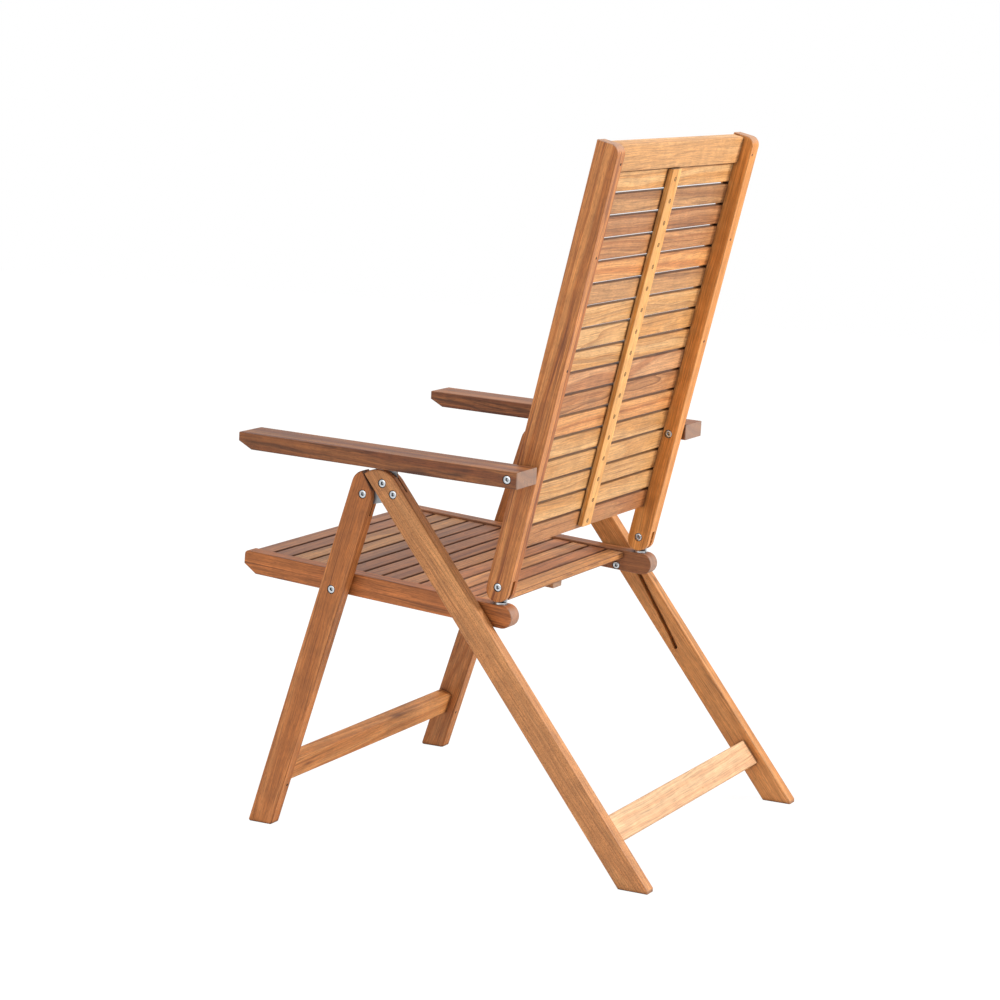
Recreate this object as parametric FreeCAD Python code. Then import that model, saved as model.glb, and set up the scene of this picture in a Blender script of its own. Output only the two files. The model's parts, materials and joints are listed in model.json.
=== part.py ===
import FreeCAD, Part
import math
import os

Vector = FreeCAD.Vector

# Overall layout, millimetres: x across the chair, y from front to rear, z up
front_leg_lean = 18.2
rear_leg_lean = 37.6
seat_slope = 4.3
back_lean = 13.8
arm_slope = 2.05

# Boards of the legs, seat rails and back stiles
leg_width = 40.5
leg_thickness = 22.0
rail_height = 34.5
stile_width = 37.0
rail_thickness = 26.0
leg_inner_x = 260.0
side_gap = 5.5
board_ease = 2.0

# Rear legs
rear_leg_rise = 23.7
foot_bevel = 4.0
foot_round = 3.0

# Front legs and their stop against the rear legs
front_leg_rise = 33.3
front_leg_top_slope = 8.5
front_leg_top_round = 24.0
relief_drop = 2.5
relief_rise = 10.7
relief_across = 12.6
relief_round = 10.0
stop_gap = 0.3
stop_ease = 0.5
fold_pivot_up = 569.2
fold_pivot_across = 3.3
fold_pivot_to_rear_leg = 20.9
seat_pivot_up = 408.0

# Stretchers
stretcher_tenon_length = 14.0
stretcher_shoulder = 4.0
stretcher_ease = 2.0
front_stretcher_height = 37.0
front_stretcher_thickness = 23.0
front_stretcher_up = 104.5
front_stretcher_setback = 3.0
rear_stretcher_height = 43.0
rear_stretcher_thickness = 20.0
rear_stretcher_up = 114.5
rear_stretcher_setback = 11.5

# Steel leg plates and the saw kerfs they sit in
plate_thickness = 3.0
kerf_clearance = 0.3
plate_margin = 13.0
plate_reach = 36.0
plate_corner_round = 4.0
kerf_end_clearance = 0.5
front_kerf_depth = 31.0
upper_plate_bolt_drop = 5.3
upper_plate_bolt_across = 38.8
lower_plate_bolt_drop = 28.8
lower_plate_bolt_across = 44.4
tab_behind_pivot = 40.1
tab_length = 14.0
tab_neck_above_pivot = 22.3
tab_corner_round = 1.0
tab_gap = 0.4

# Seat
seat_length = 474.0
seat_front_round = 6.0
seat_front_bevel_height = 13.5
seat_front_bevel_length = 22.0
seat_front_nose_round = 1.0
seat_pivot_along = 177.5
seat_pivot_drop = 6.75
seat_slat_count = 13
seat_slat_gap = 4.0
seat_slat_start = 0.5
seat_slat_rear_margin = 51.3
seat_slat_thickness = 10.0
seat_slat_drop = 3.5
seat_slat_ease = 2.0
seat_tongue_thickness = 6.0
seat_tongue_inset = 2.0
tongue_length = 9.0
groove_clearance = 0.5
strip_width = 30.0
strip_thickness = 9.0
strip_ease = 1.5
seat_strip_inset_front = 7.0
seat_strip_inset_rear = 3.0

# Seat guide plates, studs and the grooves they run in
guide_bolt_from_end = 62.5
guide_drop = 9.95
stud_from_end = 43.5
stud_diameter = 6.2
stud_clearance = 0.4
stud_reach = 7.5
guide_groove_depth = 9.0
guide_plate_width = 14.0
guide_plate_thickness = 3.0
guide_plate_margin = 7.0
round_end_flat = 0.1

# Folding motion, used to cut the guide groove along the path of the stud
fold_range = 54.0
seat_fold_ratio = 0.70
path_steps = 12

# Back
back_pivot_from_end = 27.5
back_pivot_height = 43.75
stile_foot_gap = 3.5
stile_length = 677.0
stile_rear_round = 14.0
stile_front_round = 1.0
back_slat_count = 17
back_slat_gap = 4.0
back_slat_thickness = 9.5
back_slat_setback = 3.7
back_slats_above_pivot = 52.0
back_slats_below_rail = 1.3
back_slat_ease = 1.5
top_rail_height = 42.0
top_rail_thickness = 19.0
top_rail_below_tip = 3.0
top_rail_tenon_inset = 6.0
back_strip_above_slats = 6.5
back_strip_top_gap = 1.0

# Back hinges let into the rails
hinge_width = 22.0
hinge_thickness = 3.0
hinge_kerf_clearance = 1.5
hinge_washer_diameter = 25.0
hinge_washer_thickness = 2.0
collar_diameter = 21.0
collar_stile_clearance = 0.5
stem_diameter = 8.0
stem_depth = 24.0

# Armrests
armrest_width = 63.0
armrest_thickness = 25.0
armrest_inner_x = 260.0
armrest_front = 462.0
armrest_rear = 16.5
armrest_bevel_height = 11.5
armrest_bevel_length = 23.0
armrest_ease = 2.5
armrest_corner_round = 1.0
armrest_above_fold_pivot = 62.6
arm_pivot_across = 4.7

# Notched steel racks under the armrests
rack_width = 12.0
rack_thickness = 3.0
rack_margin = 6.0
notch_count = 5
notch_length = 15.0
notch_width = 4.0
notch_pitch = 20.5
notch_pocket = 6.0

# Bolts with a sleeve nut, and countersunk screws
sleeve_diameter = 8.0
head_diameter = 13.0
head_height = 3.2
head_recess = 0.4
head_clearance = 0.3
socket_size = 5.0
socket_depth = 2.0
pin_clearance = 0.05
seat_collar_diameter = 16.0
armrest_spacer_diameter = 20.0
washer_clearance = 0.15
screw_diameter = 3.5
screw_head_diameter = 7.0
screw_head_height = 2.5
screw_grip = 6.0
overcut = 1.0


# Sketching helpers: every board is an outline in the side view, pushed along x
def frame(y, z, lean):
    """Local axes: along the piece, and square to it towards the rear or the top."""
    a = math.radians(lean)
    return (Vector(0, y, z), Vector(0, math.sin(a), math.cos(a)), Vector(0, math.cos(a), -math.sin(a)))


def at(local, along, across):
    return local[0] + local[1] * along + local[2] * across


def inside(local, point):
    d = point - local[0]
    return d.dot(local[1]), d.dot(local[2])


def meet(p, d, q, e):
    """Point where the line p + d meets the line q + e in the side view."""
    t = ((q.y - p.y) * e.z - (q.z - p.z) * e.y) / (d.y * e.z - d.z * e.y)
    return p + d * t


def turned(point, centre, degrees):
    """Point carried about the x direction through a centre, by the right-hand rule."""
    return centre + FreeCAD.Rotation(Vector(1, 0, 0), degrees).multVec(point - centre)


def outline(corners):
    """Closed wire through (point, radius) corners."""
    starts = []
    mids = []
    ends = []
    for i in range(len(corners)):
        p, r = corners[i]
        u = (corners[i - 1][0] - p).normalize()
        v = (corners[(i + 1) % len(corners)][0] - p).normalize()
        half = u.getAngle(v) / 2
        reach = r / math.tan(half)
        bisector = (u + v).normalize()
        starts.append(p + u * reach)
        ends.append(p + v * reach)
        mids.append(p + bisector * (r / math.sin(half) - r))
    edges = []
    for i in range(len(corners)):
        if corners[i][1] > 0:
            edges.append(Part.Arc(starts[i], mids[i], ends[i]).toShape())
        following = starts[(i + 1) % len(corners)]
        if ends[i].distanceToPoint(following) > 0.001:
            edges.append(Part.makeLine(ends[i], following))
    return Part.Wire(edges)


def board(corners, x_from, x_to, ease=0.0):
    """Outline pushed from one x to another, with eased edges round both faces."""
    wire = outline(corners)
    wire.translate(Vector(x_from, 0, 0))
    body = Part.Face(wire).extrude(Vector(x_to - x_from, 0, 0))
    if ease > 0:
        rim = [e for e in body.Edges if e.BoundBox.XLength < 0.001]
        body = body.makeFillet(ease, rim)
    return body


def bar(local, along, across, x_from, x_to, round_r=0.0, ease=0.0):
    """Straight bar with ranges along and across its frame."""
    corners = [(at(local, along[0], across[0]), round_r), (at(local, along[1], across[0]), round_r)]
    corners += [(at(local, along[1], across[1]), round_r), (at(local, along[0], across[1]), round_r)]
    return board(corners, x_from, x_to, ease)


def rod(point, diameter, x_from, x_to):
    """Round bar along x through a point of the side view."""
    return Part.makeCylinder(diameter / 2, x_to - x_from, Vector(x_from, point.y, point.z), Vector(1, 0, 0))


def hexagon(point, x_from, x_to):
    """Hexagon socket, sized across its flats."""
    corners = []
    for i in range(6):
        a = math.radians(60 * i)
        r = socket_size / math.sqrt(3)
        corners.append((Vector(0, point.y + r * math.cos(a), point.z + r * math.sin(a)), 0.0))
    return board(corners, x_from, x_to)


def bolt(point, x_from, x_to):
    """Cap bolt and its sleeve nut between two recessed heads."""
    low = x_from + head_recess
    high = x_to - head_recess
    body = rod(point, sleeve_diameter, low, high)
    body = body.fuse(rod(point, head_diameter, low, low + head_height))
    body = body.fuse(rod(point, head_diameter, high - head_height, high))
    body = body.cut(hexagon(point, low, low + socket_depth))
    return body.cut(hexagon(point, high - socket_depth, high)).removeSplitter()


def head_seat(point, x_face, inward):
    """Recess for one bolt head below a face."""
    depth = (head_recess + head_height) * inward
    ends = sorted([x_face, x_face + depth])
    return rod(point, head_diameter + 2 * head_clearance, ends[0], ends[1])


def screw(point, direction, length):
    """Countersunk screw whose head lies flush at the point."""
    head = Part.makeCone(screw_head_diameter / 2, screw_diameter / 2, screw_head_height, point, direction)
    shank_start = point + direction * screw_head_height
    shank = Part.makeCylinder(screw_diameter / 2, length - screw_head_height, shank_start, direction)
    return head.fuse(shank).removeSplitter()


def stretcher_and_tenon(local, top, height, front, thickness):
    """Cross bar between a pair of legs, and the tenon at its left end."""
    span = (top - height, top)
    depth = (front, front + thickness)
    tenon_span = (span[0] + stretcher_shoulder, span[1] - stretcher_shoulder)
    tenon_depth = (depth[0] + stretcher_shoulder, depth[1] - stretcher_shoulder)
    tenon_end = leg_inner_x + stretcher_tenon_length
    tenon = bar(local, tenon_span, tenon_depth, leg_inner_x - overcut, tenon_end)
    body = bar(local, span, depth, -leg_inner_x, leg_inner_x, stretcher_ease)
    return body.fuse([tenon, mirrored(tenon)]).removeSplitter(), tenon


def mirrored(body):
    return body.mirror(Vector(0, 0, 0), Vector(1, 0, 0))


def both(body):
    return Part.makeCompound([body, mirrored(body)])


def save(body, name):
    body.exportStep("parts/" + name + ".step")


def save_pair(body, name):
    save(body, name + "_left")
    save(mirrored(body), name + "_right")


os.makedirs("parts", exist_ok=True)

# Planes across the chair
leg_outer_x = leg_inner_x + leg_thickness
leg_middle_x = leg_inner_x + leg_thickness / 2
rail_outer_x = leg_inner_x - side_gap
rail_inner_x = rail_outer_x - rail_thickness
rail_middle_x = rail_outer_x - rail_thickness / 2
leg_half = leg_width / 2
rail_half = rail_height / 2
stile_half = stile_width / 2
slat_end_x = rail_inner_x + tongue_length
groove_end_x = slat_end_x + groove_clearance

# Frames of the five leaning parts, each found from the one it is pinned to
rearward = Vector(0, 1, 0)
upward = Vector(0, 0, 1)
floor_point = Vector(0, 0, 0)
seat_up = Vector(0, math.sin(math.radians(seat_slope)), math.cos(math.radians(seat_slope)))
seat_run = Vector(0, seat_up.z, -seat_up.y)


def lower_frames(front_foot_y):
    """Frames of front leg, rear leg and seat, standing from one point on the floor."""
    front = frame(front_foot_y, 0, front_leg_lean)
    pivot = at(front, fold_pivot_up, fold_pivot_across)
    leaning = frame(0, 0, -rear_leg_lean)
    centre = pivot + leaning[2] * (fold_pivot_to_rear_leg + leg_half)
    foot = meet(centre, leaning[1], floor_point, rearward)
    start = at(front, seat_pivot_up, 0) - seat_run * seat_pivot_along + seat_up * seat_pivot_drop
    return front, (foot, leaning[1], leaning[2]), (start, seat_run, seat_up)


# The origin lies midway between the seat's front end and the rear feet
trial = lower_frames(0)
front_low = -rail_half + seat_front_bevel_height
front_most = at(trial[2], 0, front_low).y
rear_most = meet(at(trial[1], 0, leg_half), trial[1][1], floor_point, rearward).y - foot_bevel
front_leg, rear_leg, seat = lower_frames(-(front_most + rear_most) / 2)
fold_pivot = at(front_leg, fold_pivot_up, fold_pivot_across)
seat_pivot = at(front_leg, seat_pivot_up, 0)
back_pivot_along = seat_length - back_pivot_from_end
back_pivot = at(seat, back_pivot_along, back_pivot_height)
back = frame(back_pivot.y, back_pivot.z, back_lean)
arm_up = Vector(0, math.sin(math.radians(arm_slope)), math.cos(math.radians(arm_slope)))
arm_run = Vector(0, arm_up.z, -arm_up.y)
above_fold_pivot = fold_pivot + arm_up * armrest_above_fold_pivot
arm_pivot = meet(above_fold_pivot, arm_run, at(back, 0, arm_pivot_across), back[1])
arm = (arm_pivot, arm_run, arm_up)
stud = at(seat, seat_length - stud_from_end, -guide_drop)
guide_bolt = at(seat, seat_length - guide_bolt_from_end, -guide_drop)
plate_axes = (fold_pivot, rear_leg[1], rear_leg[2])
upper_plate_bolt = at(plate_axes, -upper_plate_bolt_drop, upper_plate_bolt_across)
lower_plate_bolt = at(plate_axes, -lower_plate_bolt_drop, lower_plate_bolt_across)
plate_bolts = [fold_pivot, upper_plate_bolt, lower_plate_bolt]
kerf_from = leg_middle_x - plate_thickness / 2 - kerf_clearance
kerf_to = leg_middle_x + plate_thickness / 2 + kerf_clearance

# Bolts through the tops of the legs: one pivot and two fixings on each side
leg_bolts = [bolt(p, leg_inner_x, leg_outer_x) for p in plate_bolts]
fixing_holes = []
for p in plate_bolts[1:]:
    fixing_holes.append(rod(p, sleeve_diameter, leg_inner_x, leg_outer_x))
    fixing_holes.append(head_seat(p, leg_inner_x, 1))
    fixing_holes.append(head_seat(p, leg_outer_x, -1))
save(Part.makeCompound(leg_bolts + [mirrored(b) for b in leg_bolts]), "leg_plate_bolts")

# Rear legs: quarter-round top, bevelled foot, kerf for the plate, blind guide groove
rear_heel = meet(at(rear_leg, 0, leg_half), rear_leg[1], floor_point, rearward)
rear_toe = meet(at(rear_leg, 0, -leg_half), rear_leg[1], floor_point, rearward)
bevel_foot = rear_heel - rearward * foot_bevel
bevel_top = meet(bevel_foot, upward, rear_heel, rear_leg[1])
pivot_up = inside(rear_leg, fold_pivot)[0]
rear_leg_length = pivot_up + rear_leg_rise
plate_bottom_up = pivot_up - plate_reach
corners = [(rear_toe, foot_round), (bevel_foot, 0.0), (bevel_top, 0.0)]
corners += [(at(rear_leg, rear_leg_length, leg_half), leg_width)]
corners += [(at(rear_leg, rear_leg_length, -leg_half), 0.0)]
leg_body = board(corners, leg_inner_x, leg_outer_x, board_ease)
kerf_up = (plate_bottom_up - kerf_end_clearance, rear_leg_length + overcut)
leg_body = leg_body.cut(bar(rear_leg, kerf_up, (-leg_width, leg_width), kerf_from, kerf_to))
for hole in fixing_holes:
    leg_body = leg_body.cut(hole)
path = []
for i in range(path_steps + 1):
    angle = fold_range * i / path_steps
    pivot_now = turned(seat_pivot, fold_pivot, angle)
    path.append(turned(stud + pivot_now - seat_pivot, pivot_now, -seat_fold_ratio * angle))
groove_width = stud_diameter + 2 * stud_clearance
groove_from = leg_inner_x - overcut
groove_to = leg_inner_x + guide_groove_depth
groove = rod(path[0], groove_width, groove_from, groove_to)
for i in range(path_steps):
    groove = groove.fuse(rod(path[i + 1], groove_width, groove_from, groove_to))
    run = (path[i + 1] - path[i]).normalize()
    step = (path[i], run, Vector(0, run.z, -run.y))
    span = (0, path[i].distanceToPoint(path[i + 1]))
    groove = groove.fuse(bar(step, span, (-groove_width / 2, groove_width / 2), groove_from, groove_to))
leg_body = leg_body.cut(groove.removeSplitter())

# Rear stretcher, tenoned into both rear legs
stretcher_front = leg_half - rear_stretcher_setback - rear_stretcher_thickness
stretcher, tenon = stretcher_and_tenon(
    rear_leg, rear_stretcher_up, rear_stretcher_height, stretcher_front, rear_stretcher_thickness)
save(stretcher, "rear_stretcher")
save_pair(leg_body.cut(tenon), "rear_leg")

# Steel plates in the leg tops, each with a tab that carries the armrest
plate_front = inside(rear_leg, fold_pivot)[1] - plate_margin
plate_top = pivot_up + plate_margin
under_arm = arm[2] * (-armrest_thickness / 2 - tab_gap)
tab_front = fold_pivot + rearward * tab_behind_pivot
tab_rear = tab_front + rearward * tab_length
tab_top_front = meet(tab_front, upward, arm_pivot + under_arm, arm[1])
tab_top_rear = meet(tab_rear, upward, arm_pivot + under_arm, arm[1])
tab_root = meet(tab_front, upward, at(rear_leg, plate_top, 0), rear_leg[2])
plate_round = plate_margin - round_end_flat
corners = [(at(rear_leg, pivot_up - plate_margin, plate_front), plate_round)]
corners += [(at(rear_leg, plate_top, plate_front), plate_round), (tab_root, 0.0)]
corners += [(tab_top_front, tab_corner_round), (tab_top_rear, tab_corner_round)]
corners += [(tab_rear + upward * tab_neck_above_pivot, 0.0)]
corners += [(at(rear_leg, plate_bottom_up, plate_margin), plate_corner_round)]
corners += [(at(rear_leg, plate_bottom_up, -plate_margin / 2), plate_corner_round)]
leg_plate = board(corners, leg_middle_x - plate_thickness / 2, leg_middle_x + plate_thickness / 2)
for p in plate_bolts:
    leg_plate = leg_plate.cut(rod(p, sleeve_diameter, leg_inner_x, leg_outer_x))
save_pair(leg_plate, "leg_plate")

# Front legs: arched top that closes against the rear leg, cut back below so that the legs can fold
stop = at(rear_leg, 0, -leg_half - stop_gap)
front_toe = meet(at(front_leg, 0, -leg_half), front_leg[1], floor_point, rearward)
front_heel = meet(at(front_leg, 0, leg_half), front_leg[1], floor_point, rearward)
front_leg_length = fold_pivot_up + front_leg_rise
stop_high = meet(at(front_leg, front_leg_length, 0), front_leg[2], stop, rear_leg[1])
relief_low = at(front_leg, fold_pivot_up - relief_drop, leg_half)
relief_high = at(front_leg, fold_pivot_up + relief_rise, fold_pivot_across + relief_across)
corners = [(front_toe, foot_round), (front_heel, foot_round), (relief_low, stop_ease)]
corners += [(relief_high, relief_round), (stop_high, stop_ease)]
corners += [(at(front_leg, front_leg_length - front_leg_top_slope, -leg_half), front_leg_top_round)]
leg_body = board(corners, leg_inner_x, leg_outer_x, board_ease)
kerf_up = (fold_pivot_up - front_kerf_depth, front_leg_length + overcut)
leg_body = leg_body.cut(bar(front_leg, kerf_up, (-leg_width, leg_width), kerf_from, kerf_to))
leg_body = leg_body.cut(rod(fold_pivot, sleeve_diameter + 2 * pin_clearance, leg_inner_x, leg_outer_x))
leg_body = leg_body.cut(head_seat(fold_pivot, leg_inner_x, 1))
leg_body = leg_body.cut(head_seat(fold_pivot, leg_outer_x, -1))
leg_body = leg_body.cut(rod(seat_pivot, sleeve_diameter, leg_inner_x, leg_outer_x))
leg_body = leg_body.cut(head_seat(seat_pivot, leg_outer_x, -1))

# Front stretcher, tenoned into both front legs
stretcher_front = -leg_half + front_stretcher_setback
stretcher, tenon = stretcher_and_tenon(
    front_leg, front_stretcher_up, front_stretcher_height, stretcher_front, front_stretcher_thickness)
save(stretcher, "front_stretcher")
save_pair(leg_body.cut(tenon), "front_leg")

# Bolts that pin the seat rails to the front legs, with a washer collar between the two
collar = rod(seat_pivot, seat_collar_diameter, rail_outer_x + washer_clearance, leg_inner_x)
save(both(bolt(seat_pivot, rail_inner_x, leg_outer_x).fuse(collar).removeSplitter()), "seat_pivot_bolts")

# Seat rails: rounded rear end, bevelled front end, groove for the slats
corners = [(at(seat, 0, rail_half), seat_front_round), (at(seat, seat_length, rail_half), rail_half)]
corners += [(at(seat, seat_length, -rail_half), rail_half)]
corners += [(at(seat, seat_front_bevel_length, -rail_half), 0.0)]
corners += [(at(seat, 0, front_low), seat_front_nose_round)]
rail = board(corners, rail_inner_x, rail_outer_x, board_ease)
slat_top = rail_half - seat_slat_drop
slat_bottom = slat_top - seat_slat_thickness
tongue_low = slat_bottom + (seat_slat_thickness - seat_tongue_thickness) / 2
tongue_high = tongue_low + seat_tongue_thickness
slatted = seat_length - seat_slat_rear_margin - seat_slat_start
seat_slat_pitch = (slatted + seat_slat_gap) / seat_slat_count
slat_spans = []
for i in range(seat_slat_count):
    start = seat_slat_start + seat_slat_pitch * i
    slat_spans.append((start, start + seat_slat_pitch - seat_slat_gap))
groove_span = (slat_spans[0][0] + seat_tongue_inset, slat_spans[-1][1] - seat_tongue_inset)
rail = rail.cut(bar(seat, groove_span, (tongue_low, tongue_high), rail_inner_x - overcut, groove_end_x))
rail = rail.cut(rod(seat_pivot, sleeve_diameter + 2 * pin_clearance, rail_inner_x, rail_outer_x))
rail = rail.cut(head_seat(seat_pivot, rail_inner_x, 1))
rail = rail.cut(rod(guide_bolt, sleeve_diameter, rail_inner_x, rail_outer_x))
rail = rail.cut(head_seat(guide_bolt, rail_inner_x, 1))
plate_low = -guide_drop - guide_plate_width / 2
plate_high = -guide_drop + guide_plate_width / 2
plate_span = (seat_length - guide_bolt_from_end - guide_plate_margin,
              seat_length - stud_from_end + guide_plate_margin)
guide_from = rail_outer_x - guide_plate_thickness
round_end = guide_plate_width / 2 - round_end_flat
guide_plate = bar(seat, plate_span, (plate_low, plate_high), guide_from, rail_outer_x, round_end)
rail = rail.cut(guide_plate)

# Back hinges: a tongue for the stile and a collar on the rail, with a stem down into the rail
hinge_from = rail_middle_x - hinge_thickness / 2
hinge_to = rail_middle_x + hinge_thickness / 2
tongue_span = (back_pivot_along - hinge_width / 2, back_pivot_along + hinge_width / 2)
tongue_top = back_pivot_height + hinge_width / 2
corners = [(at(seat, tongue_span[0], rail_half), 0.0), (at(seat, tongue_span[1], rail_half), 0.0)]
corners += [(at(seat, tongue_span[1], tongue_top), hinge_width / 2)]
corners += [(at(seat, tongue_span[0], tongue_top), hinge_width / 2)]
tongue = board(corners, hinge_from, hinge_to)
collar_base = at(seat, back_pivot_along, rail_half) + Vector(rail_middle_x, 0, 0)
collar_height = stile_foot_gap - collar_stile_clearance
collar = Part.makeCylinder(collar_diameter / 2, collar_height, collar_base, seat_up)
stem_base = collar_base - seat_up * stem_depth
stem = Part.makeCylinder(stem_diameter / 2, stem_depth, stem_base, seat_up)
hinge = tongue.fuse([collar, stem]).removeSplitter()
hinge = hinge.cut(rod(back_pivot, sleeve_diameter + 2 * pin_clearance, hinge_from, hinge_to))
save_pair(hinge, "back_hinge")
save_pair(rail.cut(stem), "seat_rail")

# Guide plates let into the rails, each with a stud that runs in the rear leg's groove
guide_stud = rod(stud, stud_diameter, guide_from, leg_inner_x + stud_reach)
guide_plate = guide_plate.cut(rod(guide_bolt, sleeve_diameter, guide_from, rail_outer_x))
save(both(guide_plate.fuse(guide_stud).removeSplitter()), "seat_guide_plates")
low = rail_inner_x + head_recess
guide_fixing = rod(guide_bolt, sleeve_diameter, low, rail_outer_x)
guide_fixing = guide_fixing.fuse(rod(guide_bolt, head_diameter, low, low + head_height))
guide_fixing = guide_fixing.cut(hexagon(guide_bolt, low, low + socket_depth)).removeSplitter()
save(both(guide_fixing), "guide_plate_bolts")

# Seat strip and the screws that hold it up to each slat
strip_low = slat_bottom - strip_thickness
strip_span = (slat_spans[0][0] + seat_strip_inset_front, slat_spans[-1][1] - seat_strip_inset_rear)
strip = bar(seat, strip_span, (strip_low, slat_bottom), -strip_width / 2, strip_width / 2, 0.0, strip_ease)
screw_length = strip_thickness + screw_grip
seat_screws = []
for start, end in slat_spans:
    seat_screws.append(screw(at(seat, (start + end) / 2, strip_low), seat_up, screw_length))
for s in seat_screws:
    strip = strip.cut(s)
save(strip, "seat_centre_strip")
save(Part.makeCompound(seat_screws), "seat_strip_screws")

# Seat slats with a tongue at each end
for i in range(seat_slat_count):
    slat = bar(seat, slat_spans[i], (slat_bottom, slat_top), -rail_inner_x, rail_inner_x, seat_slat_ease)
    tongue_along = (slat_spans[i][0] + seat_tongue_inset, slat_spans[i][1] - seat_tongue_inset)
    slat = slat.fuse(bar(seat, tongue_along, (tongue_low, tongue_high), -slat_end_x, slat_end_x))
    save(slat.cut(seat_screws[i]).removeSplitter(), "seat_slat_%02d" % (i + 1))

# Back stiles: round foot at the hinge, kerf for the tongue, groove for slats and top rail
corners = [(at(back, stile_length, -stile_half), stile_front_round)]
corners += [(at(back, stile_length, stile_half), stile_rear_round)]
foot = rail_half + stile_foot_gap - back_pivot_height
corners += [(at(back, foot, stile_half), stile_half), (at(back, foot, -stile_half), stile_half)]
stile = board(corners, rail_inner_x, rail_outer_x, board_ease)
back_front = -stile_half + back_slat_setback
back_rear = back_front + back_slat_thickness
top_rail_top = stile_length - top_rail_below_tip
top_rail_bottom = top_rail_top - top_rail_height
slat_groove = (back_slats_above_pivot, top_rail_top - top_rail_tenon_inset)
stile = stile.cut(bar(back, slat_groove, (back_front, back_rear), rail_inner_x - overcut, groove_end_x))
washer_from = hinge_to + washer_clearance
washer_to = washer_from + hinge_washer_thickness
kerf_half = washer_to + washer_clearance - rail_middle_x
kerf_from = rail_middle_x - kerf_half
kerf_to = rail_middle_x + kerf_half
kerf_up = (-stile_width, hinge_washer_diameter / 2 + hinge_kerf_clearance)
stile = stile.cut(bar(back, kerf_up, (-stile_width, stile_width), kerf_from, kerf_to))
for p in (back_pivot, arm_pivot):
    stile = stile.cut(rod(p, sleeve_diameter + 2 * pin_clearance, rail_inner_x, rail_outer_x))
    stile = stile.cut(head_seat(p, rail_inner_x, 1))
stile = stile.cut(head_seat(back_pivot, rail_outer_x, -1))
save_pair(stile, "back_stile")

# Hinge bolts, with a washer on either side of the tongue
washer = rod(back_pivot, hinge_washer_diameter, washer_from, washer_to)
washer = washer.cut(rod(back_pivot, sleeve_diameter + 2 * pin_clearance, washer_from, washer_to))
far_washer = washer.translated(Vector(hinge_from - washer_clearance - washer_to, 0, 0))
hinge_bolt = bolt(back_pivot, rail_inner_x, rail_outer_x)
save(both(Part.makeCompound([hinge_bolt, washer, far_washer])), "back_hinge_bolts")

# Top rail, tenoned into the same grooves
rail_rear = -stile_half + top_rail_thickness
top_rail_span = (top_rail_bottom, top_rail_top)
top_rail = bar(back, top_rail_span, (-stile_half, rail_rear), -rail_inner_x, rail_inner_x, board_ease)
tenon_span = (top_rail_bottom + top_rail_tenon_inset, top_rail_top - top_rail_tenon_inset)
top_rail = top_rail.fuse(bar(back, tenon_span, (back_front, back_rear), -slat_end_x, slat_end_x))
save(top_rail.removeSplitter(), "back_top_rail")

# Back strip and its screws
slatted = top_rail_bottom - back_slats_below_rail - back_slats_above_pivot
back_slat_pitch = (slatted + back_slat_gap) / back_slat_count
back_slat_width = back_slat_pitch - back_slat_gap
back_strip_span = (back_slats_above_pivot + back_strip_above_slats, top_rail_bottom - back_strip_top_gap)
strip_rear = back_rear + strip_thickness
strip_depth = (back_rear, strip_rear)
strip = bar(back, back_strip_span, strip_depth, -strip_width / 2, strip_width / 2, 0.0, strip_ease)
back_screws = []
for i in range(back_slat_count):
    middle = back_slats_above_pivot + back_slat_pitch * i + back_slat_width / 2
    back_screws.append(screw(at(back, middle, strip_rear), back[2] * -1, screw_length))
for s in back_screws:
    strip = strip.cut(s)
save(strip, "back_centre_strip")
save(Part.makeCompound(back_screws), "back_strip_screws")

# Back slats, numbered from the seat upwards
for i in range(back_slat_count):
    low = back_slats_above_pivot + back_slat_pitch * i
    span = (low, low + back_slat_width)
    slat = bar(back, span, (back_front, back_rear), -slat_end_x, slat_end_x, back_slat_ease)
    save(slat.cut(back_screws[i]), "back_slat_%02d" % (i + 1))

# Armrests: square rear end, bevelled front end, rack groove underneath
armrest_outer_x = armrest_inner_x + armrest_width
top = armrest_thickness / 2
corners = [(at(arm, -armrest_front, top), armrest_corner_round)]
corners += [(at(arm, armrest_rear, top), armrest_corner_round)]
corners += [(at(arm, armrest_rear, -top), armrest_corner_round)]
corners += [(at(arm, -armrest_front + armrest_bevel_length, -top), 0.0)]
corners += [(at(arm, -armrest_front, -top + armrest_bevel_height), 0.0)]
armrest = board(corners, armrest_inner_x, armrest_outer_x, armrest_ease)
armrest = armrest.cut(rod(arm_pivot, sleeve_diameter + 2 * pin_clearance, armrest_inner_x, armrest_outer_x))
armrest = armrest.cut(head_seat(arm_pivot, armrest_outer_x, -1))
rack_from = leg_middle_x - rack_width / 2
rack_to = leg_middle_x + rack_width / 2
rack_face = -top + rack_thickness
first_notch = inside(arm, tab_top_front)[0] + tab_length / 2
notched = (first_notch - notch_pitch * (notch_count - 1) - notch_length / 2, first_notch + notch_length / 2)
rack = bar(arm, (notched[0] - rack_margin, notched[1] + rack_margin), (-top, rack_face), rack_from, rack_to)
armrest = armrest.cut(rack)
notch_from = leg_middle_x - notch_width / 2
notch_to = leg_middle_x + notch_width / 2
for i in range(notch_count):
    middle = first_notch - notch_pitch * i
    span = (middle - notch_length / 2, middle + notch_length / 2)
    rack = rack.cut(bar(arm, span, (-top - overcut, rack_face + overcut), notch_from, notch_to))
pocket = (rack_face - overcut, rack_face + notch_pocket)
armrest = armrest.cut(bar(arm, notched, pocket, notch_from, notch_to))
save_pair(armrest, "armrest")
save_pair(rack, "armrest_rack")

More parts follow.
